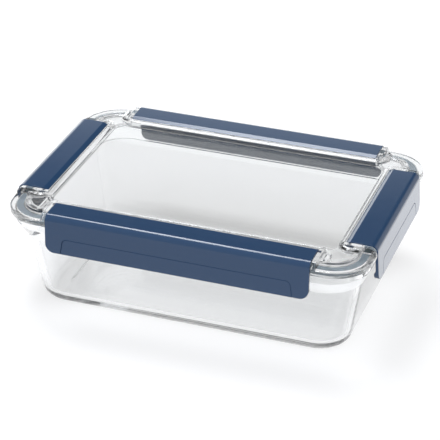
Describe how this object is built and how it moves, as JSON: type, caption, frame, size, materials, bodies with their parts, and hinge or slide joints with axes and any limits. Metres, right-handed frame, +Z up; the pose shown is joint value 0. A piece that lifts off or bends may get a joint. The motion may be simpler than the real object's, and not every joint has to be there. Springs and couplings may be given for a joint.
{
  "type": "glass storage container",
  "caption": "Rectangular glass food container with a clear lid, a seal in the lid and hinged snap latches on all sides.",
  "frame": {"origin": "middle of the foot, on the plane that the dish stands on", "axes": "+X along the long side, -Y towards the front long latch, +Z up"},
  "size_m": [0.2654, 0.1854, 0.0804],
  "materials": {
    "glass": "clear pressed glass, polished",
    "lid_clear": "clear moulded plastic, gloss",
    "seal": "translucent silicone, satin",
    "latch": "navy moulded plastic, semi-gloss"
  },
  "bodies": {
    "dish": {"glass_base": "glass"},
    "lid": {"lid": "lid_clear", "gasket": "seal"},
    "latch_front": {"latch_front": "latch"},
    "latch_back": {"latch_back": "latch"},
    "latch_left": {"latch_left": "latch"},
    "latch_right": {"latch_right": "latch"}
  },
  "joints": [
    {"name": "lid_lift", "type": "slide", "parent": "dish", "child": "lid", "axis": [0, 0, 1], "range_m": [0, 0.09]},
    {"name": "latch_front_hinge", "type": "hinge", "parent": "lid", "child": "latch_front", "pos_m": [0, -0.0715, 0.0774], "axis": [-1, 0, 0], "range_deg": [-4, 90]},
    {"name": "latch_back_hinge", "type": "hinge", "parent": "lid", "child": "latch_back", "pos_m": [0, 0.0715, 0.0774], "axis": [1, 0, 0], "range_deg": [-4, 90]},
    {"name": "latch_left_hinge", "type": "hinge", "parent": "lid", "child": "latch_left", "pos_m": [-0.1115, 0, 0.0774], "axis": [0, 1, 0], "range_deg": [-4, 90]},
    {"name": "latch_right_hinge", "type": "hinge", "parent": "lid", "child": "latch_right", "pos_m": [0.1115, 0, 0.0774], "axis": [0, -1, 0], "range_deg": [-4, 90]}
  ]
}
